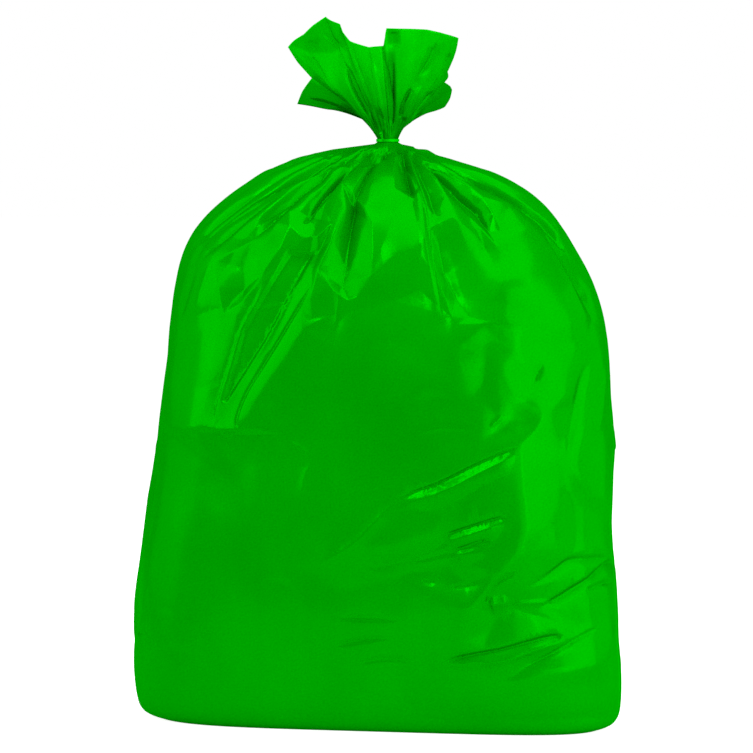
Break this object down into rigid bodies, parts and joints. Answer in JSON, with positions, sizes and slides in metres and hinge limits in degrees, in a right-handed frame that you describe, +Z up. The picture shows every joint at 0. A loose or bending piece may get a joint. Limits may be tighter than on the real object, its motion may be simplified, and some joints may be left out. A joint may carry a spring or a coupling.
{
  "type": "filled bin bag",
  "caption": "Full green plastic bin bag standing on its base, shoulders gathered to a thin twist tie, with the loose mouth fanned out above it.",
  "frame": {"origin": "middle of the base's outline, on the surface that the bag stands on", "axes": "+Z up through the bag, -Y towards the front that the picture shows, +X to that view's right"},
  "size_m": [0.5466, 0.381, 0.781],
  "materials": {
    "film": "glossy thin film, creased",
    "tie": "smooth coated strip"
  },
  "bodies": {
    "root": {"bag": "film", "neck_tie": "tie"}
  },
  "joints": []
}
